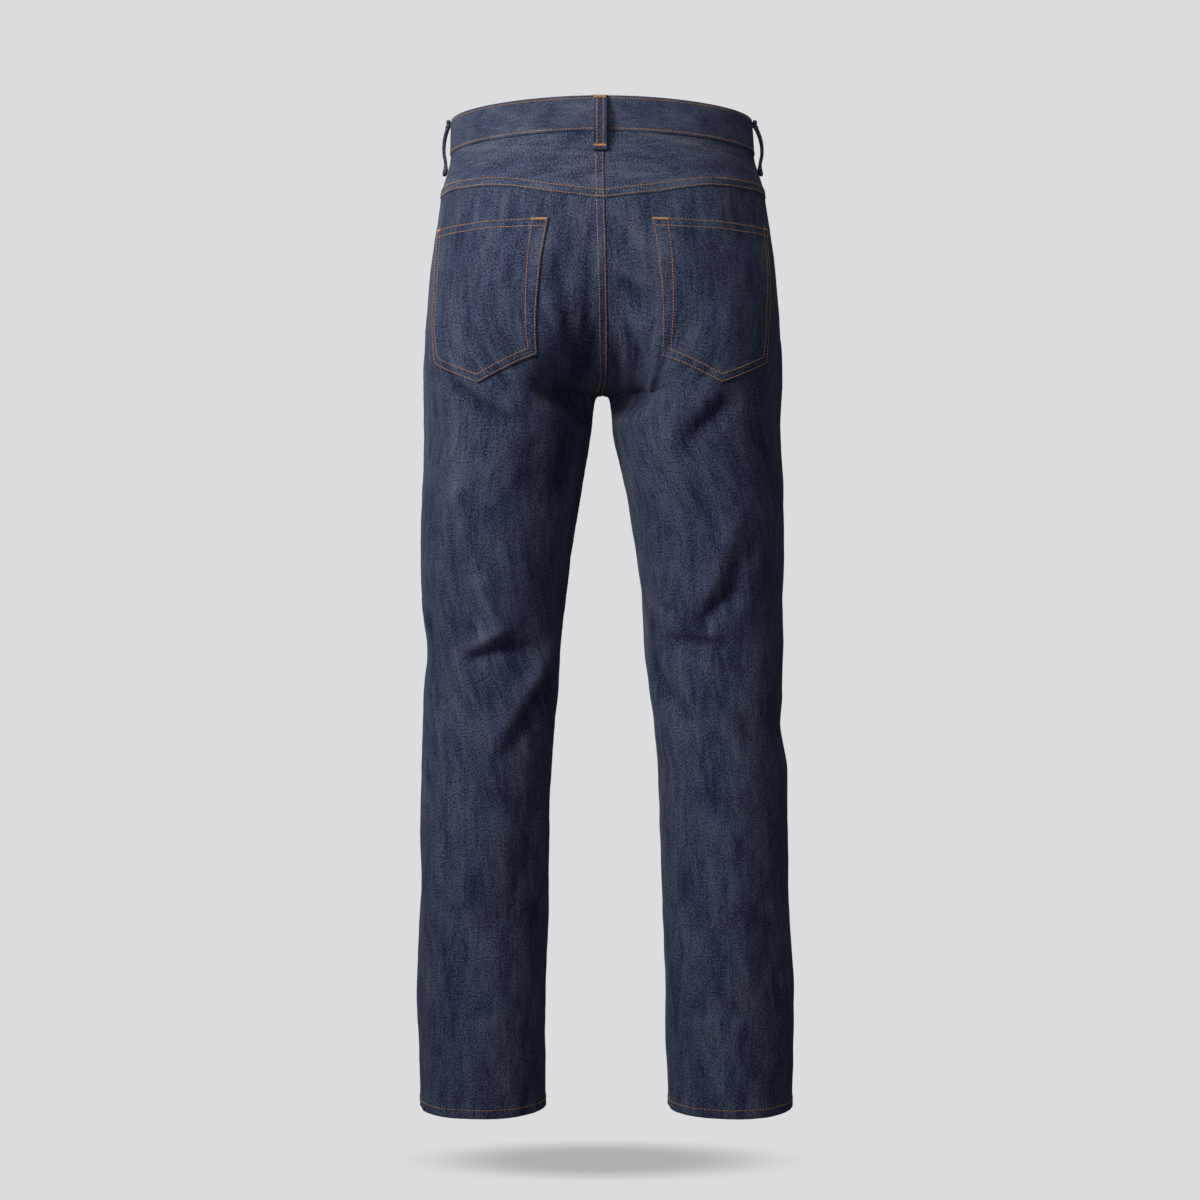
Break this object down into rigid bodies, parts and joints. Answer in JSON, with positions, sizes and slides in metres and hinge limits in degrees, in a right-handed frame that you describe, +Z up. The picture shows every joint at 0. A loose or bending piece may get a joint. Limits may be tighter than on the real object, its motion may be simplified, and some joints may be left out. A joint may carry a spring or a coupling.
{
  "type": "straight leg jeans",
  "caption": "Raw denim straight leg trousers, filled out as worn, open at the waist and hems, with a back yoke, patch pockets and belt loops.",
  "frame": {"origin": "middle of the waist opening, level with the top of the waistband at the side seams", "axes": "+Z up towards the wearer's waist, -Y out of the garment's front, +X towards the wearer's left"},
  "size_m": [0.4044, 0.2449, 1.0658],
  "materials": {
    "denim": "raw indigo denim, left-hand twill, matte with a slight sheen",
    "button_metal": "brushed, slightly aged"
  },
  "bodies": {
    "root": {"waistband": "denim", "yoke_left": "denim", "yoke_right": "denim", "back_thigh_left": "denim", "back_calf_left": "denim", "back_thigh_right": "denim", "back_calf_right": "denim", "back_pocket_left": "denim", "back_pocket_right": "denim", "front_thigh_left": "denim", "front_calf_left": "denim", "front_thigh_right": "denim", "front_calf_right": "denim", "pocket_facing_left": "denim", "pocket_facing_right": "denim", "fly_shield": "denim", "belt_loop_back": "denim", "belt_loop_side_left": "denim", "belt_loop_side_right": "denim", "belt_loop_front_left": "denim", "belt_loop_front_right": "denim", "waist_button": "button_metal"}
  },
  "joints": []
}
